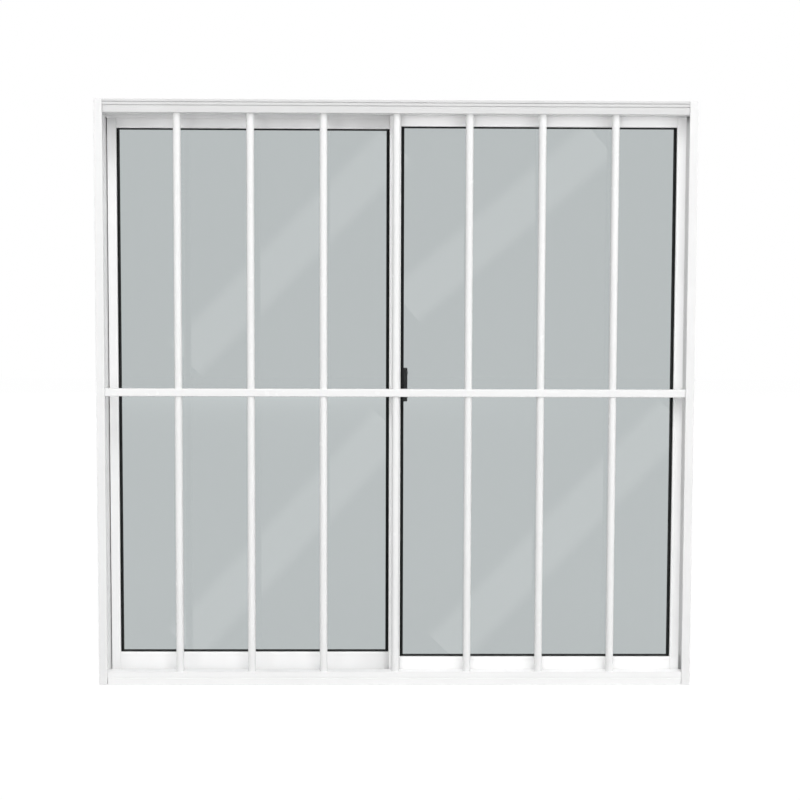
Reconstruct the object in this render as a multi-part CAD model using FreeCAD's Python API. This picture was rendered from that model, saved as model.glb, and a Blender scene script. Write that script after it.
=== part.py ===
"""Horizontal sliding window: two sashes on separate tracks behind a fixed grille of round bars.

Millimetres. +X to the right seen from the grille side, +Y into the room, +Z up. The origin is on the
sill's underside, at the middle of its length and depth.
"""
import math
import os

import FreeCAD
import Part
from FreeCAD import Vector

# Frame
WINDOW_WIDTH = 1000.0
WINDOW_HEIGHT = 980.0
FRAME_WALL = 1.4
JAMB_FLANGE = 14.0
JAMB_LIP = 5.0
JAMB_REAR_LEG = 9.0
END_GAP = 0.3
EDGE_ROUND = 0.5

# Head and sill
CHAMBER_DEPTH = 20.0
HEAD_FIN = 4.0
HEAD_FIN_THICKNESS = 3.0
HEAD_CHAMBER_HEIGHT = 18.0
HEAD_FACE_WALL = 3.0
HEAD_LINE_DROP = 5.4
HEAD_LINE_WIDTH = 1.6
HEAD_LINE_DEPTH = 1.6
HEAD_LEG = 20.0
SILL_CHAMBER_HEIGHT = 22.0
SILL_STEP_HEIGHT = 11.5
SILL_STEP_SETBACK = 1.4
SILL_LINE_WIDTH = 1.2
SILL_LINE_DEPTH = 0.7
SILL_UPSTAND = 32.0
COPE_GAP = 0.8
RIB_HEIGHT = 14.0
RIB_THICKNESS = 2.0

# Grille
BAR_COUNT = 7
BAR_DIAMETER = 12.7
BAR_WALL = 1.0
BAR_PLAY = 0.2
BAR_HEAD_BITE = 9.0
RAIL_CENTRE_HEIGHT = 495.1
RAIL_HEIGHT = 13.0
RAIL_DEPTH = 16.0
RAIL_WALL = 1.0
RAIL_CORNER = 1.5

# Sashes
SASH_THICKNESS = 22.0
SASH_WALL = 1.3
SASH_SIDE_CLEARANCE = 3.0
SASH_BETWEEN = 10.0
LEFT_SASH_GAP = 2.0
RIGHT_SASH_GAP = 5.6
SASH_LIFT = 7.0
SASH_STRADDLE = 4.0
MEETING_REACH = 11.0
STILE_FACE = 15.0
MEETING_FACE = 18.7
TOP_FACE = 27.3
BOTTOM_FACE = 32.5
GROOVE_DEPTH = 9.0
GROOVE_WIDTH = 12.0
LIP_ROUND = 1.6
BEAD_WIDTH = 4.6
BEAD_LINE_WIDTH = 0.8
BEAD_LINE_DEPTH = 0.5
HOOK_CLEARANCE = 2.1
HOOK_LENGTH = 10.0
HOOK_THICKNESS = 1.2
HOOK_TOP_CLEARANCE = 2.0
RIB_CLEARANCE = 2.0
POCKET_DEPTH = 17.0

# Glass, gaskets and running gear
GLASS_THICKNESS = 4.0
GLASS_BITE = 6.0
GASKET_BITE = 8.0
GASKET_SHOW_STILE = 3.3
GASKET_SHOW_MEETING = 5.4
GASKET_SHOW_RAIL = 1.4
GASKET_PLAY = 0.2
ROLLER_TREAD_RADIUS = 5.0
ROLLER_RIM_RADIUS = 6.5
ROLLER_WIDTH = 9.0
ROLLER_TREAD_WIDTH = 3.4
ROLLER_RIM_WIDTH = 1.2
ROLLER_AXLE_RADIUS = 2.0
ROLLER_INSET = 70.0
GUIDE_LENGTH = 32.0
GUIDE_HEIGHT = 4.0
GUIDE_SIDE_CLEARANCE = 0.8
GUIDE_INSET = 6.0
GUIDE_CORNER = 3.0

# Latch on the room-side sash
LATCH_CENTRE_HEIGHT = 506.5
LATCH_HEIGHT = 58.0
LATCH_PROJECTION = 12.6
LATCH_DEPTH = 17.0
LATCH_CORNER = 5.0
LATCH_EDGE_ROUND = 1.5
LEVER_LENGTH = 24.0
LEVER_TIP_WIDTH = 6.0
LEVER_THICKNESS = 3.6
LEVER_HUB_RADIUS = 5.5

# Places that follow from the sizes above
FRAME_DEPTH = (CHAMBER_DEPTH + 2 * SASH_SIDE_CLEARANCE + 2 * SASH_THICKNESS
               + SASH_BETWEEN + FRAME_WALL)
Y_FRONT = -FRAME_DEPTH / 2
Y_REAR = FRAME_DEPTH / 2
Y_CHAMBER = Y_FRONT + CHAMBER_DEPTH
Y_FRONT_SASH = Y_CHAMBER + SASH_SIDE_CLEARANCE + SASH_THICKNESS / 2
Y_REAR_SASH = Y_FRONT_SASH + SASH_THICKNESS + SASH_BETWEEN
Y_MIDDLE = (Y_FRONT_SASH + Y_REAR_SASH) / 2
Y_BARS = (Y_FRONT + Y_CHAMBER) / 2
X_LIP = WINDOW_WIDTH / 2 - JAMB_FLANGE
X_WEB = X_LIP + JAMB_LIP
Z_HEAD_TOP = WINDOW_HEIGHT - HEAD_FIN
Z_HEAD_LEGS = Z_HEAD_TOP - HEAD_LEG
Z_SASH_BOTTOM = RIB_HEIGHT - SASH_STRADDLE
Z_SASH_TOP = Z_HEAD_TOP - FRAME_WALL - SASH_LIFT
X_MEETING_EDGE = -MEETING_REACH
X_MEETING_LIP = X_MEETING_EDGE + MEETING_FACE
X_OUTER_EDGE = X_WEB - RIGHT_SASH_GAP
X_OUTER_LIP = X_OUTER_EDGE - STILE_FACE
Z_TOP_LIP = Z_SASH_TOP - TOP_FACE
Z_BOTTOM_LIP = Z_SASH_BOTTOM + BOTTOM_FACE
X_LEFT_SHIFT = LEFT_SASH_GAP - RIGHT_SASH_GAP
X_LATCH = MEETING_REACH + X_LEFT_SHIFT


def rounded_wire(corners):
    """Close a wire through (point, radius) corners, with an arc at each radius above zero."""
    edges = []
    count = len(corners)
    ends = []
    for i in range(count):
        point, radius = corners[i]
        before = (corners[i - 1][0] - point).normalize()
        after = (corners[(i + 1) % count][0] - point).normalize()
        if radius <= 0:
            ends.append((point, None, point))
            continue
        half = before.getAngle(after) / 2
        reach = radius / math.tan(half)
        bisector = (before + after).normalize()
        centre = point + bisector * (radius / math.sin(half))
        ends.append((point + before * reach, centre - bisector * radius, point + after * reach))
    for i in range(count):
        start, middle, stop = ends[i]
        if middle is not None:
            edges.append(Part.Arc(start, middle, stop).toShape())
        following = ends[(i + 1) % count][0]
        if stop.distanceToPoint(following) > 1e-6:
            edges.append(Part.makeLine(stop, following))
    return Part.Wire(edges)


def along_x(outline, holes, x_low, x_high):
    """Extrude a (y, z, radius) outline with holes from x_low to x_high."""
    loops = [outline] + holes
    wires = [rounded_wire([(Vector(x_low, y, z), r) for y, z, r in loop]) for loop in loops]
    return Part.makeFace(wires, "Part::FaceMakerBullseye").extrude(Vector(x_high - x_low, 0, 0))


def along_z(outline, holes, z_low, z_high):
    """Extrude an (x, y, radius) outline with holes from z_low to z_high."""
    loops = [outline] + holes
    wires = [rounded_wire([(Vector(x, y, z_low), r) for x, y, r in loop]) for loop in loops]
    return Part.makeFace(wires, "Part::FaceMakerBullseye").extrude(Vector(0, 0, z_high - z_low))


def box(low, high):
    """Box between two corners."""
    size = [b - a for a, b in zip(low, high)]
    return Part.makeBox(size[0], size[1], size[2], Vector(*low))


def bar_places():
    """X of each grille bar: equal spaces between the jambs' lips."""
    pitch = 2 * X_LIP / (BAR_COUNT + 1)
    return [-X_LIP + pitch * (i + 1) for i in range(BAR_COUNT)]


def bar_bores(z_low, z_high):
    """One clearance cylinder per grille bar."""
    radius = BAR_DIAMETER / 2 + BAR_PLAY
    return [Part.makeCylinder(radius, z_high - z_low, Vector(x, Y_BARS, z_low)) for x in bar_places()]


def copes(z_low, z_high):
    """Room at both ends of the head or the sill for the jambs' front lips."""
    back = Y_FRONT + FRAME_WALL + END_GAP
    near = X_LIP - COPE_GAP
    return [
        box((-X_WEB, Y_FRONT - 1, z_low), (-near, back, z_high)),
        box((near, Y_FRONT - 1, z_low), (X_WEB, back, z_high)),
    ]


def head_track():
    """Head: fin, front chamber for the bars, top plate and two legs that hold the sashes upright.

    Two shadow lines run along its face, one of them under the fin.
    """
    w = FRAME_WALL
    zt = Z_HEAD_TOP
    zc = zt - HEAD_CHAMBER_HEIGHT
    fin = Y_FRONT + HEAD_FIN_THICKNESS
    thick = Y_FRONT + HEAD_FACE_WALL
    thick_low = zt - HEAD_LINE_DROP - HEAD_LINE_WIDTH - w
    outline = [
        (Y_FRONT, WINDOW_HEIGHT, EDGE_ROUND), (fin, WINDOW_HEIGHT, EDGE_ROUND), (fin, zt, 0),
        (Y_REAR, zt, 0), (Y_REAR, Z_HEAD_LEGS, EDGE_ROUND),
        (Y_REAR - w, Z_HEAD_LEGS, EDGE_ROUND), (Y_REAR - w, zt - w, 0),
        (Y_MIDDLE + w / 2, zt - w, 0), (Y_MIDDLE + w / 2, Z_HEAD_LEGS, EDGE_ROUND),
        (Y_MIDDLE - w / 2, Z_HEAD_LEGS, EDGE_ROUND), (Y_MIDDLE - w / 2, zt - w, 0),
        (Y_CHAMBER, zt - w, 0), (Y_CHAMBER, zc, EDGE_ROUND), (Y_FRONT, zc, EDGE_ROUND),
    ]
    for top in (zt - HEAD_LINE_DROP, zt):
        low = top - HEAD_LINE_WIDTH
        bed = Y_FRONT + HEAD_LINE_DEPTH
        outline += [(Y_FRONT, low, 0), (bed, low, 0), (bed, top, 0), (Y_FRONT, top, 0)]
    chamber = [
        (Y_FRONT + w, zc + w, 0), (Y_CHAMBER - w, zc + w, 0), (Y_CHAMBER - w, zt - w, 0),
        (thick, zt - w, 0), (thick, thick_low, 0), (Y_FRONT + w, thick_low, 0),
    ]
    reach = X_WEB - END_GAP
    track = along_x(outline, [chamber], -reach, reach)
    return track.cut(bar_bores(zc - w, zc + 2 * w) + copes(zc - 1, WINDOW_HEIGHT + 1))


def sill_track():
    """Sill: stepped front chamber for the bars, base plate, one rib per sash and the room-side upstand.

    A shadow line runs along the step.
    """
    w = FRAME_WALL
    zc = SILL_CHAMBER_HEIGHT
    upper = Y_FRONT + SILL_STEP_SETBACK
    line_top = SILL_STEP_HEIGHT + SILL_LINE_WIDTH
    line_y = upper + SILL_LINE_DEPTH
    half = RIB_THICKNESS / 2
    outline = [
        (Y_FRONT, 0, 0), (Y_REAR, 0, 0), (Y_REAR, SILL_UPSTAND, EDGE_ROUND),
        (Y_REAR - w, SILL_UPSTAND, EDGE_ROUND), (Y_REAR - w, w, 0),
    ]
    for y in (Y_REAR_SASH, Y_FRONT_SASH):
        outline += [
            (y + half, w, 0), (y + half, RIB_HEIGHT, half * 0.9),
            (y - half, RIB_HEIGHT, half * 0.9), (y - half, w, 0),
        ]
    outline += [
        (Y_CHAMBER, w, 0), (Y_CHAMBER, zc, EDGE_ROUND), (upper, zc, EDGE_ROUND),
        (upper, line_top, 0), (line_y, line_top, 0), (line_y, SILL_STEP_HEIGHT, 0),
        (Y_FRONT, SILL_STEP_HEIGHT, EDGE_ROUND),
    ]
    chamber = [
        (Y_FRONT + w, w, 0), (Y_CHAMBER - w, w, 0), (Y_CHAMBER - w, zc - w, 0), (upper + w, zc - w, 0),
        (upper + w, SILL_STEP_HEIGHT - w, 0), (Y_FRONT + w, SILL_STEP_HEIGHT - w, 0),
    ]
    reach = X_WEB - END_GAP
    track = along_x(outline, [chamber], -reach, reach)
    return track.cut(bar_bores(zc - 2 * w, zc + w) + copes(-1, zc + 1))


def jamb(side):
    """Jamb on one side, -1 left or 1 right: flange with its lip, web, and room-side leg with its lip.

    The room-side lip stops at the head and the sill, which run through to the web.
    """
    w = FRAME_WALL
    shape = [
        (-JAMB_LIP, Y_FRONT, EDGE_ROUND), (JAMB_FLANGE - JAMB_LIP, Y_FRONT, EDGE_ROUND),
        (JAMB_FLANGE - JAMB_LIP, Y_FRONT + w, 0), (w, Y_FRONT + w, 0), (w, Y_REAR - w, 0),
        (JAMB_REAR_LEG, Y_REAR - w, 0), (JAMB_REAR_LEG, Y_REAR, EDGE_ROUND), (0, Y_REAR, 0),
        (0, Y_FRONT + w, 0), (-JAMB_LIP, Y_FRONT + w, EDGE_ROUND),
    ]
    rear_lip = [
        (w, Y_REAR - w, 0), (w, Y_REAR, 0), (-JAMB_LIP, Y_REAR, EDGE_ROUND),
        (-JAMB_LIP, Y_REAR - w, EDGE_ROUND),
    ]
    body, rear = [[(side * (X_WEB + u), y, r) for u, y, r in loop] for loop in (shape, rear_lip)]
    lip = along_z(rear, [], SILL_UPSTAND + END_GAP, Z_HEAD_LEGS - END_GAP)
    return along_z(body, [], 0, WINDOW_HEIGHT).fuse(lip).removeSplitter()


def grille_bar(x):
    """Round tube from the sill chamber's floor up into the head chamber."""
    low = FRAME_WALL
    high = Z_HEAD_TOP - HEAD_CHAMBER_HEIGHT + BAR_HEAD_BITE
    base = Vector(x, Y_BARS, low)
    outer = Part.makeCylinder(BAR_DIAMETER / 2, high - low, base)
    return outer.cut(Part.makeCylinder(BAR_DIAMETER / 2 - BAR_WALL, high - low, base))


def grille_rail():
    """Rectangular tube between the jambs, bored for the bars that pass through it."""
    low = RAIL_CENTRE_HEIGHT - RAIL_HEIGHT / 2
    high = RAIL_CENTRE_HEIGHT + RAIL_HEIGHT / 2
    front = Y_BARS - RAIL_DEPTH / 2
    back = Y_BARS + RAIL_DEPTH / 2
    w = RAIL_WALL
    outline = [(y, z, RAIL_CORNER) for y, z in ((front, low), (back, low), (back, high), (front, high))]
    hollow = [
        (front + w, low + w, 0), (back - w, low + w, 0), (back - w, high - w, 0), (front + w, high - w, 0),
    ]
    reach = X_WEB - END_GAP
    return along_x(outline, [hollow], -reach, reach).cut(bar_bores(low - w, high + w))


def glazing_section(face, pocket=0.0):
    """Section of a sash member as (u, v, radius): u from its outer edge to the glass, v across it.

    The glass groove is open at u = face, and a fine line sets off the bead beside it on both sides. A
    pocket leaves the outer edge open between two legs.
    """
    w = SASH_WALL
    t = SASH_THICKNESS / 2
    g = GROOVE_WIDTH / 2
    floor = face - GROOVE_DEPTH
    line = face - BEAD_WIDTH
    line_end = line - BEAD_LINE_WIDTH
    bed = t - BEAD_LINE_DEPTH
    outline = [
        (0, -t, EDGE_ROUND), (line_end, -t, 0), (line_end, -bed, 0), (line, -bed, 0), (line, -t, 0),
        (face, -t, LIP_ROUND), (face, -g, 0), (floor, -g, 0), (floor, g, 0), (face, g, 0),
        (face, t, LIP_ROUND), (line, t, 0), (line, bed, 0), (line_end, bed, 0), (line_end, t, 0),
        (0, t, EDGE_ROUND),
    ]
    start = w
    if pocket > 0:
        outline += [(0, t - w, 0), (pocket, t - w, 0), (pocket, w - t, 0), (0, w - t, 0)]
        start = pocket + w
    hollow = [
        (start, w - t, 0), (face - w, w - t, 0), (face - w, -g - w, 0), (floor - w, -g - w, 0),
        (floor - w, g + w, 0), (face - w, g + w, 0), (face - w, t - w, 0), (start, t - w, 0),
    ]
    return outline, hollow


def rib_notch(x_low, x_high):
    """Room for the sill's rib under a stile."""
    half = RIB_THICKNESS / 2 + RIB_CLEARANCE
    low = (x_low, Y_FRONT_SASH - half, Z_SASH_BOTTOM - 1)
    return box(low, (x_high, Y_FRONT_SASH + half, RIB_HEIGHT + RIB_CLEARANCE))


def outer_stile():
    """Stile beside the jamb."""
    outline, hollow = glazing_section(STILE_FACE)
    loops = [[(X_OUTER_EDGE - u, Y_FRONT_SASH + v, r) for u, v, r in loop] for loop in (outline, hollow)]
    stile = along_z(loops[0], [loops[1]], Z_SASH_BOTTOM, Z_SASH_TOP)
    return stile.cut(rib_notch(X_OUTER_LIP - 1, X_OUTER_EDGE + 1))


def meeting_stile():
    """Stile at the window's middle, with the hooked fin that locks into the other sash."""
    outline, hollow = glazing_section(MEETING_FACE)
    loops = [[(X_MEETING_EDGE + u, Y_FRONT_SASH + v, r) for u, v, r in loop] for loop in (outline, hollow)]
    stile = along_z(loops[0], [loops[1]], Z_SASH_BOTTOM, Z_SASH_TOP)
    back = Y_FRONT_SASH + SASH_THICKNESS / 2
    tip = back + SASH_BETWEEN - HOOK_CLEARANCE
    x = X_MEETING_EDGE
    t = HOOK_THICKNESS
    inset = EDGE_ROUND
    hook = [
        (x + inset, back - SASH_WALL / 2, 0), (x + inset + t, back - SASH_WALL / 2, 0),
        (x + inset + t, tip - t, 0), (x + HOOK_LENGTH, tip - t, 0), (x + HOOK_LENGTH, tip, 0),
        (x + inset, tip, 0),
    ]
    stile = stile.fuse(along_z(hook, [], Z_SASH_BOTTOM, Z_HEAD_LEGS - HOOK_TOP_CLEARANCE))
    stile = stile.removeSplitter()
    return stile.cut(rib_notch(X_MEETING_EDGE - 1, X_MEETING_LIP + 1))


def top_rail():
    """Top rail between the stiles."""
    outline, hollow = glazing_section(TOP_FACE)
    loops = [[(Y_FRONT_SASH + v, Z_SASH_TOP - u, r) for u, v, r in loop] for loop in (outline, hollow)]
    return along_x(loops[0], [loops[1]], X_MEETING_LIP, X_OUTER_LIP)


def roller_places():
    """X of the two rollers under the sash."""
    return [X_MEETING_LIP + ROLLER_INSET, X_OUTER_LIP - ROLLER_INSET]


def bottom_rail():
    """Bottom rail between the stiles, open below for the rib and the rollers."""
    outline, hollow = glazing_section(BOTTOM_FACE, POCKET_DEPTH)
    loops = [[(Y_FRONT_SASH + v, Z_SASH_BOTTOM + u, r) for u, v, r in loop] for loop in (outline, hollow)]
    return along_x(loops[0], [loops[1]], X_MEETING_LIP, X_OUTER_LIP)


def rollers():
    """Two grooved rollers with their axles, standing on the rib."""
    reach = SASH_THICKNESS / 2 - SASH_WALL
    half = ROLLER_WIDTH / 2
    tread = ROLLER_TREAD_WIDTH / 2
    a = ROLLER_AXLE_RADIUS
    rim = ROLLER_RIM_RADIUS
    edge = half - ROLLER_RIM_WIDTH
    section = [
        (0, -reach), (a, -reach), (a, -half), (rim, -half), (rim, -edge), (ROLLER_TREAD_RADIUS, -tread),
        (ROLLER_TREAD_RADIUS, tread), (rim, edge), (rim, half), (a, half), (a, reach), (0, reach),
    ]
    z = RIB_HEIGHT + ROLLER_TREAD_RADIUS
    solids = []
    for x in roller_places():
        centre = Vector(x, Y_FRONT_SASH, z)
        wire = Part.makePolygon([centre + Vector(0, y, r) for r, y in section + section[:1]])
        solids.append(Part.Face(wire).revolve(centre, Vector(0, 1, 0), 360))
    return Part.makeCompound(solids)


def guides():
    """Two plastic blocks on the sash's top corners that run between the head's legs."""
    half = SASH_THICKNESS / 2 + SASH_SIDE_CLEARANCE - GUIDE_SIDE_CLEARANCE
    z = Z_SASH_TOP
    low_front = Y_FRONT_SASH - half
    solids = []
    for x in (X_MEETING_LIP + GUIDE_INSET, X_OUTER_LIP - GUIDE_INSET - GUIDE_LENGTH):
        corners = ((x, low_front), (x + GUIDE_LENGTH, low_front),
                   (x + GUIDE_LENGTH, low_front + 2 * half), (x, low_front + 2 * half))
        solids.append(along_z([(cx, cy, GUIDE_CORNER) for cx, cy in corners], [], z, z + GUIDE_HEIGHT))
    return Part.makeCompound(solids)


def pane():
    """Glass held in the grooves on all four sides."""
    half = GLASS_THICKNESS / 2
    low = (X_MEETING_LIP - GLASS_BITE, Y_FRONT_SASH - half, Z_BOTTOM_LIP - GLASS_BITE)
    return box(low, (X_OUTER_LIP + GLASS_BITE, Y_FRONT_SASH + half, Z_TOP_LIP + GLASS_BITE))


def gasket():
    """Channel gasket around the glass edge, standing out of the grooves towards the glass."""
    half = GROOVE_WIDTH / 2 - GASKET_PLAY
    b = GASKET_BITE
    rail = GASKET_SHOW_RAIL
    outer = box((X_MEETING_LIP - b, Y_FRONT_SASH - half, Z_BOTTOM_LIP - b),
                (X_OUTER_LIP + b, Y_FRONT_SASH + half, Z_TOP_LIP + b))
    inner = box((X_MEETING_LIP + GASKET_SHOW_MEETING, Y_FRONT_SASH - half - 1, Z_BOTTOM_LIP + rail),
                (X_OUTER_LIP - GASKET_SHOW_STILE, Y_FRONT_SASH + half + 1, Z_TOP_LIP - rail))
    return outer.cut(inner).cut(pane())


def latch_body():
    """Latch case on the side of the room-side sash's meeting stile."""
    x = X_LATCH
    y = Y_REAR_SASH - LATCH_DEPTH / 2
    z = LATCH_CENTRE_HEIGHT - LATCH_HEIGHT / 2
    corners = ((y, z), (y + LATCH_DEPTH, z), (y + LATCH_DEPTH, z + LATCH_HEIGHT), (y, z + LATCH_HEIGHT))
    case = along_x([(cy, cz, LATCH_CORNER) for cy, cz in corners], [], x, x + LATCH_PROJECTION)
    rim = [e for e in case.Edges if e.BoundBox.XMin > x + LATCH_PROJECTION - 1e-3]
    return case.makeFillet(LATCH_EDGE_ROUND, rim)


def latch_lever():
    """Thumb lever on the case's room side: a round hub and an arm that tapers down to its tip."""
    x = X_LATCH + LATCH_PROJECTION / 2
    y = Y_REAR_SASH + LATCH_DEPTH / 2
    z = LATCH_CENTRE_HEIGHT
    tip = LEVER_TIP_WIDTH / 2
    low = z - LEVER_LENGTH
    hub = Part.makeCylinder(LEVER_HUB_RADIUS, LEVER_THICKNESS, Vector(x, y, z), Vector(0, 1, 0))
    arm = [
        (Vector(x - LEVER_HUB_RADIUS, y, z), 0), (Vector(x + LEVER_HUB_RADIUS, y, z), 0),
        (Vector(x + tip, y, low), tip * 0.8), (Vector(x - tip, y, low), tip * 0.8),
    ]
    blade = Part.Face(rounded_wire(arm)).extrude(Vector(0, LEVER_THICKNESS, 0))
    return hub.fuse(blade).removeSplitter()


def turned(shape):
    """The same piece on the room-side track, half a turn round and pushed home against the left jamb."""
    copy = shape.copy()
    copy.rotate(Vector(0, Y_MIDDLE, 0), Vector(0, 0, 1), 180)
    copy.translate(Vector(X_LEFT_SHIFT, 0, 0))
    return copy


def nodes():
    """Every piece of the window by name."""
    pieces = {
        "head_track": head_track(),
        "sill_track": sill_track(),
        "left_jamb": jamb(-1),
        "right_jamb": jamb(1),
        "grille_rail": grille_rail(),
    }
    for i, x in enumerate(bar_places()):
        pieces["grille_bar_%d" % (i + 1)] = grille_bar(x)
    sash = {
        "top_rail": top_rail(),
        "bottom_rail": bottom_rail(),
        "outer_stile": outer_stile(),
        "meeting_stile": meeting_stile(),
        "glass": pane(),
        "gasket": gasket(),
        "rollers": rollers(),
        "guides": guides(),
    }
    for name, shape in sash.items():
        pieces["right_sash_" + name] = shape
        pieces["left_sash_" + name] = turned(shape)
    pieces["latch_body"] = latch_body()
    pieces["latch_lever"] = latch_lever()
    return pieces


os.makedirs("parts", exist_ok=True)
for node, solid in nodes().items():
    solid.exportStep("parts/%s.step" % node)
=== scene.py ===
"""Studio scene of a white sliding window with a fixed grille of round bars in front of its two sashes.

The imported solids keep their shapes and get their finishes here. The small screws that close the frame and
hold the latch are modelled here too. Lengths are in metres, in the frame of the part.
"""
import logging
import math
from dataclasses import dataclass, field
from enum import Enum

import bmesh
import bpy
from mathutils import Matrix, Vector


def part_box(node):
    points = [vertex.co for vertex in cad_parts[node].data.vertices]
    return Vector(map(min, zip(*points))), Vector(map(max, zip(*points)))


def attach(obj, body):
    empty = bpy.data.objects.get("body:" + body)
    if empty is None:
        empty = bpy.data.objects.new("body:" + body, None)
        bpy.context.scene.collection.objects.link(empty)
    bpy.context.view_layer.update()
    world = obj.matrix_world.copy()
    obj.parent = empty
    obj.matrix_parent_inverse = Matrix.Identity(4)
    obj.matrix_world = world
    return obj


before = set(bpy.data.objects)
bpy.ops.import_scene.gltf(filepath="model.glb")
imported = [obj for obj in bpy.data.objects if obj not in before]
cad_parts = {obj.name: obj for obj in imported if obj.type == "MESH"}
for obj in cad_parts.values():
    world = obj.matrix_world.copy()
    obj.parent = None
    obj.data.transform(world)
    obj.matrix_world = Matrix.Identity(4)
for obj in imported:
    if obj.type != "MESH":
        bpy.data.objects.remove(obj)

log = logging.getLogger("window")
Colour = tuple[float, float, float]
Point = tuple[float, float, float]
ROOT = "root"
IMAGE_PIXELS = 800.0
CAMERA_PLACE: Point = (-0.02086, -2.26991, 0.61585)
MIDDLE: Point = (0.0, 0.0, 0.49)
# Object Y where the painted shade on the outward faces starts, and where it is full.
FRONT_SHADE_END_Y = -0.0375
FRONT_SHADE_FULL_Y = -0.0390
NOISE_LOW = 0.3
NOISE_HIGH = 0.7
RELIEF_DISTANCE = 0.0004
WHITE = (1.0, 1.0, 1.0, 1.0)


class Run(Enum):
    """Direction in which a profile was drawn, as texture stretch along X, Y and Z."""

    ALONG_X = (3.0, 700.0, 700.0)
    ALONG_Z = (700.0, 700.0, 3.0)


class Side(Enum):
    """The two sashes."""

    LEFT = "left"
    RIGHT = "right"


class NodeSheet:
    """Thin wrapper around a node tree that adds and links nodes."""

    def __init__(self, tree: bpy.types.NodeTree) -> None:
        """Start on an empty tree.

        Args:
            tree: The node tree to fill; its nodes are cleared.
        """
        self.tree = tree
        tree.nodes.clear()

    def add(self, kind: str, **settings: object) -> bpy.types.Node:
        """Add a node.

        Args:
            kind: The node's type name.
            settings: Attributes to set on the node.

        Returns:
            The new node.
        """
        node = self.tree.nodes.new(kind)
        for key, value in settings.items():
            setattr(node, key, value)
        return node

    def link(self, source: bpy.types.NodeSocket, target: bpy.types.NodeSocket) -> None:
        """Join an output to an input."""
        self.tree.links.new(source, target)

    def mapped(self, stretch: Point) -> bpy.types.NodeSocket:
        """Object coordinates stretched along each axis.

        Args:
            stretch: Scale along X, Y and Z.

        Returns:
            The vector output.
        """
        place = self.add("ShaderNodeTexCoord")
        mapping = self.add("ShaderNodeMapping")
        mapping.inputs["Scale"].default_value = stretch
        self.link(place.outputs["Object"], mapping.inputs["Vector"])
        return mapping.outputs["Vector"]

    def noise(self, vector: bpy.types.NodeSocket, scale: float, detail: float) -> bpy.types.NodeSocket:
        """Noise value read at a vector.

        Args:
            vector: Where the noise is read.
            scale: Noise scale.
            detail: Octaves.

        Returns:
            The factor output.
        """
        node = self.add("ShaderNodeTexNoise")
        node.inputs["Scale"].default_value = scale
        node.inputs["Detail"].default_value = detail
        self.link(vector, node.inputs["Vector"])
        return node.outputs["Fac"]

    def ranged(self, value: bpy.types.NodeSocket, low: bpy.types.NodeSocket | float,
               high: bpy.types.NodeSocket | float) -> bpy.types.NodeSocket:
        """Map a noise value from its usual range to low..high.

        Args:
            value: The value to map.
            low: Result at NOISE_LOW, a number or an output.
            high: Result at NOISE_HIGH, a number or an output.

        Returns:
            The mapped value.
        """
        node = self.add("ShaderNodeMapRange")
        node.inputs["From Min"].default_value = NOISE_LOW
        node.inputs["From Max"].default_value = NOISE_HIGH
        self.link(value, node.inputs["Value"])
        for name, end in (("To Min", low), ("To Max", high)):
            if isinstance(end, (int, float)):
                node.inputs[name].default_value = end
            else:
                self.link(end, node.inputs[name])
        return node.outputs["Result"]

    def maths(self, operation: str, first: bpy.types.NodeSocket | float,
              second: bpy.types.NodeSocket | float) -> bpy.types.NodeSocket:
        """Combine two values.

        Args:
            operation: The Math node's operation.
            first: First value.
            second: Second value.

        Returns:
            The result output.
        """
        node = self.add("ShaderNodeMath", operation=operation)
        for i, value in enumerate((first, second)):
            if isinstance(value, (int, float)):
                node.inputs[i].default_value = value
            else:
                self.link(value, node.inputs[i])
        return node.outputs[0]


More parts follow.
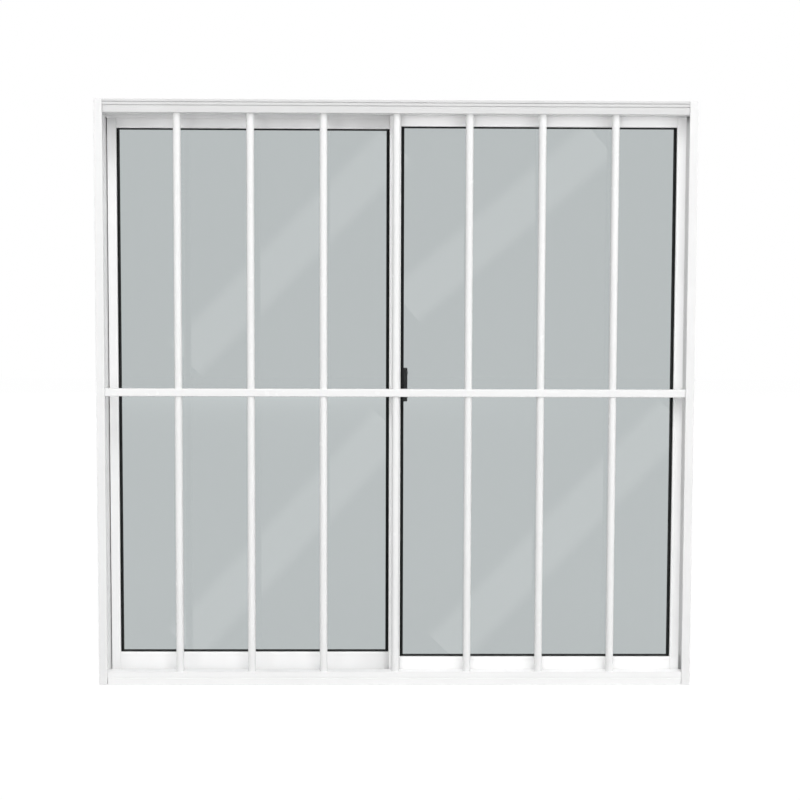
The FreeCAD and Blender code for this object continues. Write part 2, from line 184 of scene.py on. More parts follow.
class SurfaceEffects:
    """Shader node groups that more than one finish uses.

    Each noise is a scale with its octaves.
    """

    broad_noise: tuple[float, float] = (9.0, 3.0)
    patch_noise: tuple[float, float] = (60.0, 2.0)
    line_noise: tuple[float, float] = (1.0, 2.0)
    dust_noise: tuple[float, float] = (220.0, 4.0)
    dust_spread: tuple[float, float] = (0.2, 1.0)
    # Patches of the painted shade on the outward faces.
    front_shade_noise: tuple[float, float] = (14.0, 3.0)
    front_shade_spread: tuple[float, float] = (0.93, 1.0)

    def __init__(self) -> None:
        """Build the groups once."""
        self.skin = self._skin()
        self.draw_lines = self._draw_lines()
        self.settled_dust = self._settled_dust()
        self.painted_front_shade = self._painted_front_shade()

    @staticmethod
    def _group(name: str, inputs: dict[str, float], outputs: tuple[str, ...]) -> bpy.types.NodeTree:
        """Make an empty group with number sockets.

        Args:
            name: Group name.
            inputs: Input names with their defaults.
            outputs: Output names.

        Returns:
            The group's tree.
        """
        tree = bpy.data.node_groups.new(name, "ShaderNodeTree")
        for key, value in inputs.items():
            socket = tree.interface.new_socket(key, in_out="INPUT", socket_type="NodeSocketFloat")
            socket.default_value = value
        for key in outputs:
            tree.interface.new_socket(key, in_out="OUTPUT", socket_type="NodeSocketFloat")
        return tree

    def _skin(self) -> bpy.types.NodeTree:
        """Fine skin of a coat or moulding: tone, roughness and height that vary over the surface.

        Returns:
            The group's tree.
        """
        tree = self._group("fine_skin", {"Grain": 1500.0, "Tone Low": 0.97, "Tone High": 1.0,
                                         "Roughness Low": 0.3, "Roughness High": 0.4},
                           ("Tone", "Roughness", "Height"))
        sheet = NodeSheet(tree)
        given = sheet.add("NodeGroupInput")
        result = sheet.add("NodeGroupOutput")
        place = sheet.add("ShaderNodeTexCoord").outputs["Object"]
        broad = sheet.noise(place, *self.broad_noise)
        patch = sheet.noise(place, *self.patch_noise)
        grain = sheet.add("ShaderNodeTexNoise")
        grain.inputs["Detail"].default_value = 2.0
        sheet.link(place, grain.inputs["Vector"])
        sheet.link(given.outputs["Grain"], grain.inputs["Scale"])
        tone = sheet.ranged(broad, given.outputs["Tone Low"], given.outputs["Tone High"])
        rough = sheet.ranged(patch, given.outputs["Roughness Low"], given.outputs["Roughness High"])
        sheet.link(tone, result.inputs["Tone"])
        sheet.link(rough, result.inputs["Roughness"])
        sheet.link(grain.outputs["Fac"], result.inputs["Height"])
        return tree

    def _draw_lines(self) -> bpy.types.NodeTree:
        """Faint lines that a die leaves along a profile, for each direction of drawing.

        Returns:
            The group's tree.
        """
        tree = self._group("draw_lines", {"Depth": 1.0}, ("Lines X", "Lines Z"))
        sheet = NodeSheet(tree)
        given = sheet.add("NodeGroupInput")
        result = sheet.add("NodeGroupOutput")
        for run, name in ((Run.ALONG_X, "Lines X"), (Run.ALONG_Z, "Lines Z")):
            lines = sheet.noise(sheet.mapped(run.value), *self.line_noise)
            sheet.link(sheet.maths("MULTIPLY", lines, given.outputs["Depth"]), result.inputs[name])
        return tree

    def _settled_dust(self) -> bpy.types.NodeTree:
        """Mask of fine dust on faces that look up.

        Returns:
            The group's tree.
        """
        tree = self._group("settled_dust", {"Amount": 0.2}, ("Mask",))
        sheet = NodeSheet(tree)
        given = sheet.add("NodeGroupInput")
        result = sheet.add("NodeGroupOutput")
        normal = sheet.add("ShaderNodeNewGeometry")
        parts = sheet.add("ShaderNodeSeparateXYZ")
        sheet.link(normal.outputs["Normal"], parts.inputs["Vector"])
        upward = sheet.maths("MAXIMUM", parts.outputs["Z"], 0.0)
        speck = sheet.noise(sheet.add("ShaderNodeTexCoord").outputs["Object"], *self.dust_noise)
        spread = sheet.ranged(speck, *self.dust_spread)
        mask = sheet.maths("MULTIPLY", upward, spread)
        sheet.link(sheet.maths("MULTIPLY", mask, given.outputs["Amount"]), result.inputs["Mask"])
        return tree

    def _painted_front_shade(self) -> bpy.types.NodeTree:
        """Painted shade: a darker tone, in soft patches, on the few millimetres of a profile that face
        outward.

        Returns:
            The group's tree.
        """
        tree = self._group("painted_front_shade", {"Outer Tone": 0.9}, ("Tone",))
        sheet = NodeSheet(tree)
        given = sheet.add("NodeGroupInput")
        result = sheet.add("NodeGroupOutput")
        place = sheet.add("ShaderNodeTexCoord").outputs["Object"]
        parts = sheet.add("ShaderNodeSeparateXYZ")
        sheet.link(place, parts.inputs["Vector"])
        reach = sheet.add("ShaderNodeMapRange", interpolation_type="SMOOTHSTEP")
        reach.inputs["From Min"].default_value = FRONT_SHADE_END_Y
        reach.inputs["From Max"].default_value = FRONT_SHADE_FULL_Y
        sheet.link(parts.outputs["Y"], reach.inputs["Value"])
        patches = sheet.ranged(sheet.noise(place, *self.front_shade_noise), *self.front_shade_spread)
        mask = sheet.maths("MULTIPLY", reach.outputs["Result"], patches)
        tone = sheet.add("ShaderNodeMapRange")
        tone.inputs["To Min"].default_value = 1.0
        sheet.link(mask, tone.inputs["Value"])
        sheet.link(given.outputs["Outer Tone"], tone.inputs["To Max"])
        sheet.link(tone.outputs["Result"], result.inputs["Tone"])
        return tree


def group_node(sheet: NodeSheet, tree: bpy.types.NodeTree, **values: float) -> bpy.types.Node:
    """Place a node group.

    Args:
        sheet: Where the group goes.
        tree: The group.
        values: Input values, with underscores for the spaces in their names.

    Returns:
        The group's node.
    """
    node = sheet.add("ShaderNodeGroup", node_tree=tree)
    for key, value in values.items():
        node.inputs[key.replace("_", " ")].default_value = value
    return node


def skin_node(sheet: NodeSheet, effects: SurfaceEffects, grain: float, tone: tuple[float, float],
              roughness: tuple[float, float]) -> bpy.types.Node:
    """Place the group of the fine skin.

    Args:
        sheet: Where the group goes.
        effects: Shared node groups.
        grain: Scale of the grain.
        tone: Lowest and highest tone.
        roughness: Lowest and highest roughness.

    Returns:
        The group's node.
    """
    return group_node(sheet, effects.skin, Grain=grain, Tone_Low=tone[0], Tone_High=tone[1],
                      Roughness_Low=roughness[0], Roughness_High=roughness[1])


def tinted(sheet: NodeSheet, tone: bpy.types.NodeSocket, colour: Colour) -> bpy.types.NodeSocket:
    """Colour scaled by a tone.

    Args:
        sheet: Where the nodes go.
        tone: Brightness factor.
        colour: The full colour.

    Returns:
        The colour output.
    """
    mix = sheet.add("ShaderNodeMix", data_type="RGBA", blend_type="MULTIPLY")
    mix.inputs["Factor"].default_value = 1.0
    mix.inputs["A"].default_value = (*colour, 1.0)
    sheet.link(tone, mix.inputs["B"])
    return mix.outputs["Result"]


def dusted(sheet: NodeSheet, body: bpy.types.NodeSocket, mask: bpy.types.NodeSocket,
           dust_colour: Colour) -> bpy.types.NodeSocket:
    """Colour with dust laid over it.

    Args:
        sheet: Where the node goes.
        body: Colour of the clean surface.
        mask: Where the dust lies.
        dust_colour: Colour of the dust.

    Returns:
        The colour output.
    """
    mix = sheet.add("ShaderNodeMix", data_type="RGBA")
    mix.inputs["B"].default_value = (*dust_colour, 1.0)
    sheet.link(mask, mix.inputs["Factor"])
    sheet.link(body, mix.inputs["A"])
    return mix.outputs["Result"]


def bumped(sheet: NodeSheet, height: bpy.types.NodeSocket, strength: float,
           distance: float = RELIEF_DISTANCE) -> bpy.types.NodeSocket:
    """Normal raised by a height.

    Args:
        sheet: Where the node goes.
        height: The height value.
        strength: Bump strength.
        distance: Bump distance in metres.

    Returns:
        The normal output.
    """
    bump = sheet.add("ShaderNodeBump")
    bump.inputs["Strength"].default_value = strength
    bump.inputs["Distance"].default_value = distance
    sheet.link(height, bump.inputs["Height"])
    return bump.outputs["Normal"]


def new_material(name: str) -> tuple[bpy.types.Material, NodeSheet, bpy.types.Node]:
    """Material with a Principled shader joined to its output.

    Args:
        name: Material name.

    Returns:
        The material, its sheet and the shader node.
    """
    material = bpy.data.materials.new(name)
    material.use_nodes = True
    sheet = NodeSheet(material.node_tree)
    output = sheet.add("ShaderNodeOutputMaterial")
    shader = sheet.add("ShaderNodeBsdfPrincipled")
    sheet.link(shader.outputs["BSDF"], output.inputs["Surface"])
    return material, sheet, shader


@dataclass(frozen=True)
class PowderCoat:
    """White powder coat over drawn aluminium."""

    name: str
    colour: Colour
    run: Run
    roughness: tuple[float, float] = (0.335, 0.355)
    dust: float = 0.04
    # Painted shade: tone of the outward faces, 1.0 for none.
    front_shade_tone: float = 1.0
    tone: tuple[float, float] = (0.975, 1.0)
    grain: float = 1500.0
    line_depth: float = 0.12
    relief: float = 0.02
    dust_colour: Colour = (0.60, 0.58, 0.54)
    ior: float = 1.48

    def make(self, effects: SurfaceEffects) -> bpy.types.Material:
        """Build the material.

        Args:
            effects: Shared node groups.

        Returns:
            The material.
        """
        material, sheet, shader = new_material(self.name)
        skin = skin_node(sheet, effects, self.grain, self.tone, self.roughness)
        lines = group_node(sheet, effects.draw_lines, Depth=self.line_depth)
        dust = group_node(sheet, effects.settled_dust, Amount=self.dust)
        tone = skin.outputs["Tone"]
        # Painted shade that darkens the outward faces.
        if self.front_shade_tone < 1.0:
            front_shade = group_node(sheet, effects.painted_front_shade, Outer_Tone=self.front_shade_tone)
            tone = sheet.maths("MULTIPLY", tone, front_shade.outputs["Tone"])
        coat = dusted(sheet, tinted(sheet, tone, self.colour), dust.outputs["Mask"], self.dust_colour)
        sheet.link(coat, shader.inputs["Base Color"])
        sheet.link(skin.outputs["Roughness"], shader.inputs["Roughness"])
        drawn = lines.outputs["Lines X" if self.run is Run.ALONG_X else "Lines Z"]
        height = sheet.maths("ADD", skin.outputs["Height"], drawn)
        sheet.link(bumped(sheet, height, self.relief), shader.inputs["Normal"])
        shader.inputs["IOR"].default_value = self.ior
        return material


@dataclass(frozen=True)
class Moulding:
    """Moulded rubber or plastic with a fine grain."""

    name: str
    colour: Colour
    roughness: tuple[float, float]
    grain: float = 2600.0
    relief: float = 0.25
    dust: float = 0.12
    gloss: float = 0.5
    tone: tuple[float, float] = (0.75, 1.2)
    dust_colour: Colour = (0.42, 0.41, 0.39)

    def make(self, effects: SurfaceEffects) -> bpy.types.Material:
        """Build the material.

        Args:
            effects: Shared node groups.

        Returns:
            The material.
        """
        material, sheet, shader = new_material(self.name)
        skin = skin_node(sheet, effects, self.grain, self.tone, self.roughness)
        dust = group_node(sheet, effects.settled_dust, Amount=self.dust)
        clean = tinted(sheet, skin.outputs["Tone"], self.colour)
        body = dusted(sheet, clean, dust.outputs["Mask"], self.dust_colour)
        sheet.link(body, shader.inputs["Base Color"])
        sheet.link(skin.outputs["Roughness"], shader.inputs["Roughness"])
        sheet.link(bumped(sheet, skin.outputs["Height"], self.relief), shader.inputs["Normal"])
        shader.inputs["Specular IOR Level"].default_value = self.gloss
        return material


@dataclass(frozen=True)
class PaneGlass:
    """Plain glass with a light grey cast and the slight waviness of float glass."""

    name: str
    colour: Colour
    ior: float = 1.5
    cast_stretch: Point = (2.2, 2.2, 1.1)
    cast_octaves: float = 2.0
    cast_tone: tuple[float, float] = (0.985, 1.0)
    wave_stretch: Point = (5.0, 5.0, 2.0)
    wave_octaves: float = 1.0
    wave_relief: float = 0.015
    wave_distance: float = 0.001

    def make(self, effects: SurfaceEffects) -> bpy.types.Material:
        """Build the material.

        Args:
            effects: Shared node groups; not used.

        Returns:
            The material.
        """
        material, sheet, shader = new_material(self.name)
        cast = sheet.noise(sheet.mapped(self.cast_stretch), 1.0, self.cast_octaves)
        tone = sheet.ranged(cast, *self.cast_tone)
        sheet.link(tinted(sheet, tone, self.colour), shader.inputs["Base Color"])
        wave = sheet.noise(sheet.mapped(self.wave_stretch), 1.0, self.wave_octaves)
        sheet.link(bumped(sheet, wave, self.wave_relief, self.wave_distance), shader.inputs["Normal"])
        shader.inputs["Transmission Weight"].default_value = 1.0
        shader.inputs["Roughness"].default_value = 0.0
        shader.inputs["IOR"].default_value = self.ior
        return material


@dataclass(frozen=True)
class PlatedSteel:
    """Zinc-plated steel of the screws."""

    name: str
    colour: Colour = (0.62, 0.63, 0.65)
    roughness: tuple[float, float] = (0.28, 0.45)
    tone: tuple[float, float] = (0.85, 1.0)
    grain: float = 3200.0
    relief: float = 0.2
    relief_distance: float = 0.0002

    def make(self, effects: SurfaceEffects) -> bpy.types.Material:
        """Build the material.

        Args:
            effects: Shared node groups.

        Returns:
            The material.
        """
        material, sheet, shader = new_material(self.name)
        skin = skin_node(sheet, effects, self.grain, self.tone, self.roughness)
        sheet.link(tinted(sheet, skin.outputs["Tone"], self.colour), shader.inputs["Base Color"])
        sheet.link(skin.outputs["Roughness"], shader.inputs["Roughness"])
        normal = bumped(sheet, skin.outputs["Height"], self.relief, self.relief_distance)
        sheet.link(normal, shader.inputs["Normal"])
        shader.inputs["Metallic"].default_value = 1.0
        return material


def dress(node: str, material: bpy.types.Material) -> None:
    """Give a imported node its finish.

    Args:
        node: Node name.
        material: Finish to put in its slots.
    """
    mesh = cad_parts[node].data
    mesh.materials.clear()
    mesh.materials.append(material)
    log.info("dressed %s with %s", node, material.name)


@dataclass
class OuterFrame:
    """Head, sill and jambs."""

    colour: Colour = (0.92, 0.92, 0.92)
    # Painted shade on the outward faces of each profile, darkest on the head.
    jamb_front_shade_tone: float = 0.83
    sill_front_shade_tone: float = 0.90
    head_front_shade_tone: float = 0.68
    upright: tuple[str, ...] = ("left_jamb", "right_jamb")

    def build(self, effects: SurfaceEffects) -> None:
        """Dress the frame's profiles.

        Args:
            effects: Shared node groups.
        """
        head_coat = PowderCoat("head_coat", self.colour, Run.ALONG_X, front_shade_tone=self.head_front_shade_tone)
        sill_coat = PowderCoat("sill_coat", self.colour, Run.ALONG_X, front_shade_tone=self.sill_front_shade_tone)
        dress("head_track", head_coat.make(effects))
        dress("sill_track", sill_coat.make(effects))
        jamb_coat = PowderCoat("jamb_coat", self.colour, Run.ALONG_Z, front_shade_tone=self.jamb_front_shade_tone)
        jamb_finish = jamb_coat.make(effects)
        for node in self.upright:
            dress(node, jamb_finish)


@dataclass
class Grille:
    """Round bars and the rail that they pass through."""

    colour: Colour = (0.80, 0.80, 0.80)
    roughness: tuple[float, float] = (0.255, 0.275)
    bar_count: int = 7

    def build(self, effects: SurfaceEffects) -> None:
        """Dress the bars and the rail.

        Args:
            effects: Shared node groups.
        """
        rail = PowderCoat("rail_coat", self.colour, Run.ALONG_X, self.roughness).make(effects)
        dress("grille_rail", rail)
        bars = PowderCoat("bar_coat", self.colour, Run.ALONG_Z, self.roughness).make(effects)
        for i in range(self.bar_count):
            dress(f"grille_bar_{i + 1}", bars)


@dataclass
class Sash:
    """One glazed sash with its gasket and running gear."""

    side: Side
    colour: Colour = (0.94, 0.94, 0.94)
    glass: Colour = (0.500, 0.534, 0.538)
    rubber: Colour = (0.010, 0.011, 0.011)
    nylon: Colour = (0.05, 0.05, 0.052)

    def build(self, effects: SurfaceEffects) -> None:
        """Dress the sash.

        Args:
            effects: Shared node groups.
        """
        name = self.side.value
        level = PowderCoat(f"{name}_rail_coat", self.colour, Run.ALONG_X).make(effects)
        upright = PowderCoat(f"{name}_stile_coat", self.colour, Run.ALONG_Z).make(effects)
        finishes = {
            "top_rail": level,
            "bottom_rail": level,
            "outer_stile": upright,
            "meeting_stile": upright,
            "glass": PaneGlass(f"{name}_pane_glass", self.glass).make(effects),
            "gasket": Moulding(f"{name}_gasket_rubber", self.rubber, roughness=(0.5, 0.65),
                               gloss=0.2).make(effects),
            "rollers": Moulding(f"{name}_roller_nylon", self.nylon, roughness=(0.35, 0.5)).make(effects),
            "guides": Moulding(f"{name}_guide_nylon", self.nylon, roughness=(0.4, 0.55)).make(effects),
        }
        for member, material in finishes.items():
            dress(f"{name}_sash_{member}", material)


@dataclass
class Latch:
    """Latch case and lever."""

    colour: Colour = (0.045, 0.046, 0.048)
    grain: float = 1800.0

    def build(self, effects: SurfaceEffects) -> None:
        """Dress the latch.

        Args:
            effects: Shared node groups.
        """
        case = Moulding("latch_case", self.colour, roughness=(0.35, 0.5), grain=self.grain, relief=0.35)
        lever = Moulding("latch_lever", self.colour, roughness=(0.28, 0.4), grain=self.grain, relief=0.2)
        dress("latch_body", case.make(effects))
        dress("latch_lever", lever.make(effects))


@dataclass
class PanScrew:
    """Pan-head screw with a cross recess, its underside on the origin and its head towards +Z."""

    radius: float = 0.0036
    height: float = 0.0024
    recess_width: float = 0.0011
    recess_reach: float = 0.0021
    recess_depth: float = 0.0012
    sides: int = 32
    rim_share: float = 0.45
    dome: tuple[tuple[float, float], ...] = ((0.30, 0.88), (0.17, 0.74), (0.08, 0.60))
    smooth_degrees: float = 32.0
    upward: float = 0.9

    def model(self, name: str) -> bpy.types.Object:
        """Model the screw's head.

        Args:
            name: Object name.

        Returns:
            The finished object.
        """
        bpy.ops.object.select_all(action="DESELECT")
        rim = self.height * self.rim_share
        bpy.ops.mesh.primitive_cylinder_add(vertices=self.sides, radius=self.radius, depth=rim,
                                            location=(0.0, 0.0, rim / 2))
        bpy.ops.object.transform_apply(location=True, rotation=True, scale=True)
        head = bpy.context.object
        head.name = name
        bpy.ops.object.mode_set(mode="EDIT")
        for rise, shrink in self.dome:
            self._select_top(head)
            bpy.ops.mesh.extrude_region_move(
                TRANSFORM_OT_translate={"value": (0.0, 0.0, self.height * rise)})
            bpy.ops.transform.resize(value=(shrink, shrink, 1.0), center_override=(0.0, 0.0, 0.0))
        bpy.ops.object.mode_set(mode="OBJECT")
        self._cut_recess(head)
        bpy.ops.object.shade_smooth_by_angle(angle=math.radians(self.smooth_degrees))
        return head

    def _select_top(self, head: bpy.types.Object) -> None:
        """Select only the highest face that looks up.

        Args:
            head: The object in edit mode.
        """
        mesh = bmesh.from_edit_mesh(head.data)
        level = [face for face in mesh.faces if face.normal.z > self.upward]
        top = max(level, key=lambda face: face.calc_center_median().z)
        bpy.ops.mesh.select_all(action="DESELECT")
        top.select = True
        mesh.select_flush_mode()
        bmesh.update_edit_mesh(head.data)

    def _cut_recess(self, head: bpy.types.Object) -> None:
        """Cut the cross recess into the head.

        Args:
            head: The screw's head.
        """
        slot = (self.recess_reach * 2.0, self.recess_width)
        for spread in (slot, slot[::-1]):
            bpy.ops.object.select_all(action="DESELECT")
            bpy.ops.mesh.primitive_cube_add(size=1.0, location=(0.0, 0.0, self.height))
            cutter = bpy.context.object
            cutter.scale = (*spread, self.recess_depth * 2.0)
            bpy.ops.object.transform_apply(location=True, rotation=True, scale=True)
            bpy.ops.object.select_all(action="DESELECT")
            head.select_set(True)
            bpy.context.view_layer.objects.active = head
            cut = head.modifiers.new("recess", "BOOLEAN")
            cut.operation = "DIFFERENCE"
            cut.object = cutter
            bpy.ops.object.modifier_apply(modifier=cut.name)
            bpy.data.objects.remove(cutter)


@dataclass
class Fasteners:
    """Screws through the jambs into head, sill and rail, and the screws of the latch."""

    end_gap: float = 0.0003
    web_thickness: float = 0.0014
    top_plate_drop: float = 0.0060
    head_drop: float = 0.0055
    sill_rise: float = 0.0060
    chamber_y: float = -0.0260
    track_y: float = 0.0093
    latch_spread: float = 0.0200
    screw: PanScrew = field(default_factory=PanScrew)
    small_screw: PanScrew = field(default_factory=lambda: PanScrew(radius=0.0026, height=0.0014,
                                                                  recess_width=0.0008, recess_reach=0.0015,
                                                                  recess_depth=0.0008))

    def build(self, effects: SurfaceEffects) -> None:
        """Model and place every screw.

        Args:
            effects: Shared node groups.
        """
        steel = PlatedSteel("screw_zinc").make(effects)
        pattern = self.screw.model("screw_pattern")
        count = 0
        for jamb, sign in (("left_jamb", -1.0), ("right_jamb", 1.0)):
            log.info("screws on %s", jamb)
            for seat in self._jamb_seats(sign):
                count += 1
                self._place(pattern, f"frame_screw_{count}", seat, (sign, 0.0, 0.0), steel, "frame_white")
        bpy.data.objects.remove(pattern)
        pattern = self.small_screw.model("latch_screw_pattern")
        for i, seat in enumerate(self._latch_seats()):
            self._place(pattern, f"latch_screw_{i + 1}", seat, (1.0, 0.0, 0.0), steel, "latch_finish")
        bpy.data.objects.remove(pattern)

    def _jamb_seats(self, sign: float) -> list[Point]:
        """Screw seats on the outer face of a jamb's web.

        Args:
            sign: Direction of the outer face along X.

        Returns:
            Points on that face.
        """
        head_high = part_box("head_track")[1]
        rail_low, rail_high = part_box("grille_rail")
        x = sign * (head_high.x + self.end_gap + self.web_thickness)
        top = head_high.z - self.top_plate_drop - self.head_drop
        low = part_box("sill_track")[0].z + self.sill_rise
        rail = (rail_low + rail_high) / 2
        return [(x, self.chamber_y, top), (x, self.track_y, top), (x, self.chamber_y, low),
                (x, self.track_y, low), (x, rail.y, rail.z)]

    def _latch_seats(self) -> list[Point]:
        """Screw seats on the side of the latch case.

        Returns:
            Points on its outer face.
        """
        low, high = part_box("latch_body")
        middle = (low + high) / 2
        return [(high.x, middle.y, middle.z + step) for step in (-self.latch_spread, self.latch_spread)]

    @staticmethod
    def _place(pattern: bpy.types.Object, name: str, seat: Point, axis: Point,
               material: bpy.types.Material, slot: str) -> None:
        """Copy a screw to its seat.

        Args:
            pattern: The modelled screw.
            name: Name of the copy.
            seat: Where its underside sits.
            axis: Where its head points.
            material: Its finish.
            slot: The record's slot nearest to its finish; not used.
        """
        copy = pattern.copy()
        copy.data = pattern.data.copy()
        copy.name = name
        bpy.context.collection.objects.link(copy)
        turn = Vector((0.0, 0.0, 1.0)).rotation_difference(Vector(axis)).to_matrix().to_4x4()
        copy.data.transform(Matrix.Translation(Vector(seat)) @ turn)
        copy.data.materials.clear()
        copy.data.materials.append(material)
        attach(copy, ROOT)
        log.info("placed %s", name)


@dataclass
class PhotoCamera:
    """Camera that sees the window as the photograph does."""

    place: Point = CAMERA_PLACE
    yaw: float = -0.01239
    pitch: float = -0.05923
    roll: float = 0.0031
    focal_pixels: float = 1335.08
    sensor: float = 36.0

    def build(self) -> None:
        """Create the camera and make it the scene's own."""
        data = bpy.data.cameras.new("photo_camera")
        data.sensor_width = self.sensor
        data.sensor_fit = "HORIZONTAL"
        data.lens = self.sensor * self.focal_pixels / IMAGE_PIXELS
        camera = bpy.data.objects.new("photo_camera", data)
        bpy.context.collection.objects.link(camera)
        turn = Matrix.Rotation(self.yaw, 3, "Z") @ Matrix.Rotation(self.pitch, 3, "X")
        right = turn.col[0] * math.cos(self.roll) + turn.col[2] * math.sin(self.roll)
        up = turn.col[2] * math.cos(self.roll) - turn.col[0] * math.sin(self.roll)
        axes = Matrix((right, up, -turn.col[1])).transposed().to_4x4()
        camera.matrix_world = Matrix.Translation(Vector(self.place)) @ axes
        bpy.context.scene.camera = camera


@dataclass(frozen=True)
class SoftLamp:
    """Square soft lamp."""

    name: str
    place: Point
    size: float
    power: float
    aim: Point = MIDDLE

    def build(self) -> None:
        """Create the lamp and turn it to its aim."""
        data = bpy.data.lights.new(self.name, "AREA")
        data.size = self.size
        data.energy = self.power
        lamp = bpy.data.objects.new(self.name, data)
        bpy.context.collection.objects.link(lamp)
        place = Vector(self.place)
        turn = (Vector(self.aim) - place).to_track_quat("-Z", "Y").to_matrix().to_4x4()
        lamp.matrix_world = Matrix.Translation(place) @ turn
        lamp.visible_camera = False
        lamp.visible_glossy = False
        lamp.visible_transmission = False


@dataclass(frozen=True)
class Glint:
    """Pale strip behind the camera that a pane mirrors as a soft diagonal band."""

    name: str
    upper: Point
    lower: Point
    width: float = 0.098
    strength: float = 1.25
    card_y: float = -7.0
    floor_rise: float = 0.004
    cells: tuple[int, int] = (8, 40)
    fade_edge: float = 0.5
    fade_full: float = 0.22

    def _mirrored(self, point: Vector) -> Vector:
        """Where the camera sees the card, or the floor in front of it, mirrored at a point of the pane.

        Args:
            point: A point on the pane.

        Returns:
            The point on the card or just over the floor.
        """
        ray = point - Vector(CAMERA_PLACE)
        ray.y = -ray.y
        reach = (self.card_y - point.y) / ray.y
        if point.z + ray.z * reach < self.floor_rise:
            reach = (self.floor_rise - point.z) / ray.z
        return point + ray * reach

    def build(self) -> None:
        """Create the strip, seen in reflections alone."""
        bpy.ops.object.select_all(action="DESELECT")
        bpy.ops.mesh.primitive_grid_add(x_subdivisions=self.cells[0], y_subdivisions=self.cells[1],
                                        size=1.0, location=(0.0, 0.0, 0.0))
        strip = bpy.context.object
        strip.name = self.name
        middle = (Vector(self.upper) + Vector(self.lower)) / 2
        along = Vector(self.upper) - Vector(self.lower)
        across = along.normalized().cross(Vector((0.0, 1.0, 0.0))) * self.width
        for vertex in strip.data.vertices:
            vertex.co = self._mirrored(middle + across * vertex.co.x + along * vertex.co.y)
        strip.visible_camera = False
        strip.visible_diffuse = False
        strip.visible_transmission = False
        strip.visible_shadow = False
        strip.data.materials.append(self._soft_strip())

    def _soft_strip(self) -> bpy.types.Material:
        """Light that fades towards the strip's long edges.

        Returns:
            The material.
        """
        material = bpy.data.materials.new(self.name)
        material.use_nodes = True
        sheet = NodeSheet(material.node_tree)
        output = sheet.add("ShaderNodeOutputMaterial")
        parts = sheet.add("ShaderNodeSeparateXYZ")
        sheet.link(sheet.add("ShaderNodeTexCoord").outputs["UV"], parts.inputs["Vector"])
        offset = sheet.maths("ABSOLUTE", sheet.maths("SUBTRACT", parts.outputs["X"], 0.5), 0.0)
        fade = sheet.add("ShaderNodeMapRange", interpolation_type="SMOOTHSTEP")
        fade.inputs["From Min"].default_value = self.fade_edge
        fade.inputs["From Max"].default_value = self.fade_full
        sheet.link(offset, fade.inputs["Value"])
        clear = sheet.add("ShaderNodeBsdfTransparent")
        glow = sheet.add("ShaderNodeEmission")
        glow.inputs["Strength"].default_value = self.strength
        blend = sheet.add("ShaderNodeMixShader")
        sheet.link(fade.outputs["Result"], blend.inputs["Fac"])
        sheet.link(clear.outputs["BSDF"], blend.inputs[1])
        sheet.link(glow.outputs["Emission"], blend.inputs[2])
        sheet.link(blend.outputs["Shader"], output.inputs["Surface"])
        return material


LAMPS = (
    SoftLamp("key_light", place=(2.4, -6.4, 4.35), size=3.5, power=117.0),
    SoftLamp("steep_light", place=(0.3, -3.4, 6.2), size=2.6, power=222.0),
    SoftLamp("left_light", place=(-4.6, -3.4, 0.9), size=2.0, power=12.0),
    SoftLamp("right_light", place=(4.6, -3.4, 0.9), size=2.0, power=70.0),
    SoftLamp("fill_light", place=(-2.6, -5.2, 1.0), size=1.6, power=50.0),
    SoftLamp("room_light", place=(-1.0, 9.0, 1.9), size=2.4, power=320.0),
)
GLINTS = (
    Glint("glint_upper_left", upper=(-0.002, 0.0233, 0.914), lower=(-0.361, 0.0233, 0.548)),
    Glint("glint_upper_right", upper=(0.342, -0.0087, 0.92), lower=(0.015, -0.0087, 0.643)),
    Glint("glint_lower_left", upper=(-0.010, 0.0233, 0.437), lower=(-0.364, 0.0233, 0.053)),
    Glint("glint_lower_right", upper=(0.475, -0.0087, 0.457), lower=(0.086, -0.0087, 0.052)),
)


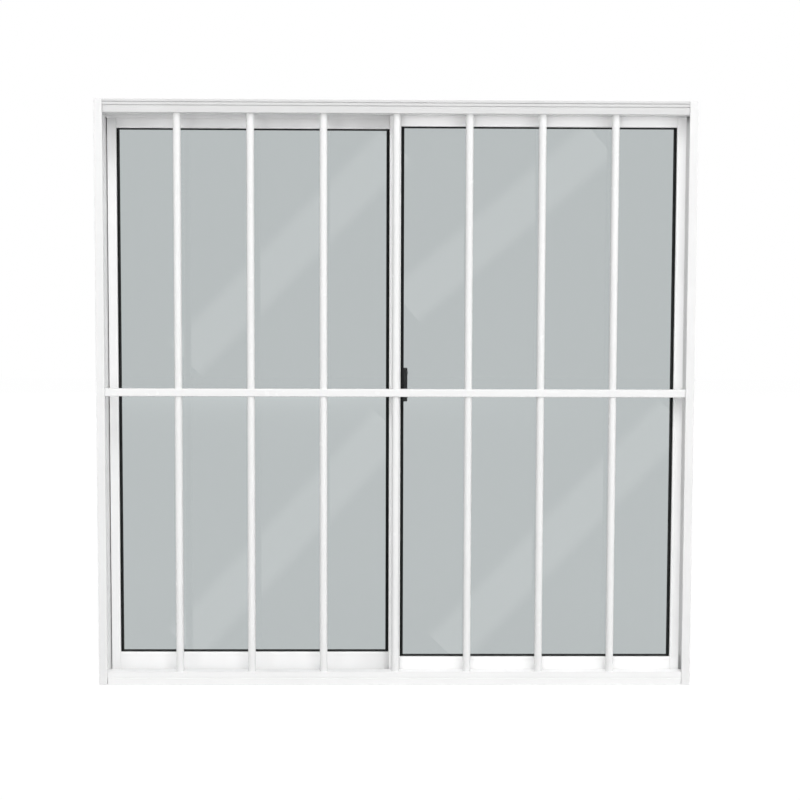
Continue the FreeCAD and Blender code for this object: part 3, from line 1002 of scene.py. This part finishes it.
@dataclass
class Studio:
    """Pale floor, soft lamps, a white surround and the strips that the panes mirror."""

    ambient: float = 0.45
    floor_size: float = 24.0
    floor_colour: Colour = (0.60, 0.60, 0.60)
    floor_glow: float = 0.94
    floor_strength: float = 1.04
    front_mirrored: float = 0.15
    front_start: float = 0.25
    front_full: float = 0.85

    def build(self) -> None:
        """Set the view transform and build floor, world, lamps and strips."""
        bpy.context.scene.view_settings.view_transform = "Standard"
        self._floor()
        self._world()
        for lamp in LAMPS:
            lamp.build()
            log.info("set %s", lamp.name)
        for glint in GLINTS:
            glint.build()
            log.info("set %s", glint.name)

    def _seen(self, sheet: NodeSheet, full: float) -> tuple[bpy.types.NodeSocket, bpy.types.NodeSocket]:
        """Rays that look at the surround, and how bright it is to them.

        The surround is at its full strength to the camera, through glass and in mirror images. Mirror images
        of its front side alone are dimmer, like a studio that is unlit behind the camera.

        Args:
            sheet: Where the nodes go.
            full: Full strength of the surround.

        Returns:
            The mask of those rays, 0 or 1, and the strength.
        """
        path = sheet.add("ShaderNodeLightPath")
        through = path.outputs["Is Transmission Ray"]
        gloss = path.outputs["Is Glossy Ray"]
        direct = sheet.maths("MAXIMUM", path.outputs["Is Camera Ray"], gloss)
        mask = sheet.maths("MAXIMUM", direct, through)
        mirror = sheet.maths("MAXIMUM", sheet.maths("SUBTRACT", gloss, through), 0.0)
        parts = sheet.add("ShaderNodeSeparateXYZ")
        sheet.link(sheet.add("ShaderNodeNewGeometry").outputs["Incoming"], parts.inputs["Vector"])
        front = sheet.add("ShaderNodeMapRange", interpolation_type="SMOOTHSTEP")
        front.inputs["From Min"].default_value = self.front_start
        front.inputs["From Max"].default_value = self.front_full
        sheet.link(parts.outputs["Y"], front.inputs["Value"])
        dimmed = sheet.maths("MULTIPLY", mirror, front.outputs["Result"])
        loss = sheet.maths("MULTIPLY", dimmed, full - self.front_mirrored)
        strength = sheet.maths("SUBTRACT", full, loss)
        return mask, strength

    def _floor(self) -> None:
        """Pale floor that keeps a soft shadow."""
        bpy.ops.object.select_all(action="DESELECT")
        bpy.ops.mesh.primitive_plane_add(size=self.floor_size, location=(0.0, 0.0, 0.0))
        floor = bpy.context.object
        floor.name = "studio_floor"
        material = bpy.data.materials.new("studio_floor")
        material.use_nodes = True
        sheet = NodeSheet(material.node_tree)
        output = sheet.add("ShaderNodeOutputMaterial")
        matt = sheet.add("ShaderNodeBsdfDiffuse")
        matt.inputs["Color"].default_value = (*self.floor_colour, 1.0)
        glow = sheet.add("ShaderNodeEmission")
        seen, strength = self._seen(sheet, self.floor_strength)
        sheet.link(strength, glow.inputs["Strength"])
        blend = sheet.add("ShaderNodeMixShader")
        sheet.link(sheet.maths("MULTIPLY", seen, self.floor_glow), blend.inputs["Fac"])
        sheet.link(matt.outputs["BSDF"], blend.inputs[1])
        sheet.link(glow.outputs["Emission"], blend.inputs[2])
        sheet.link(blend.outputs["Shader"], output.inputs["Surface"])
        floor.data.materials.append(material)

    def _world(self) -> None:
        """White to the eye, softer as a light."""
        world = bpy.data.worlds.new("studio_world")
        world.use_nodes = True
        bpy.context.scene.world = world
        sheet = NodeSheet(world.node_tree)
        output = sheet.add("ShaderNodeOutputWorld")
        light = sheet.add("ShaderNodeBackground")
        light.inputs["Strength"].default_value = self.ambient
        light.inputs["Color"].default_value = WHITE
        white = sheet.add("ShaderNodeBackground")
        white.inputs["Color"].default_value = WHITE
        seen, strength = self._seen(sheet, 1.0)
        sheet.link(strength, white.inputs["Strength"])
        blend = sheet.add("ShaderNodeMixShader")
        sheet.link(seen, blend.inputs["Fac"])
        sheet.link(light.outputs["Background"], blend.inputs[1])
        sheet.link(white.outputs["Background"], blend.inputs[2])
        sheet.link(blend.outputs["Shader"], output.inputs["Surface"])


def main() -> None:
    """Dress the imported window, add its screws and set the studio."""
    logging.basicConfig(level=logging.INFO, format="%(name)s: %(message)s")
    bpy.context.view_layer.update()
    effects = SurfaceEffects()
    OuterFrame().build(effects)
    Grille().build(effects)
    for side in Side:
        Sash(side).build(effects)
    Latch().build(effects)
    Fasteners().build(effects)
    Studio().build()
    PhotoCamera().build()


if __name__ == "__main__":
    main()
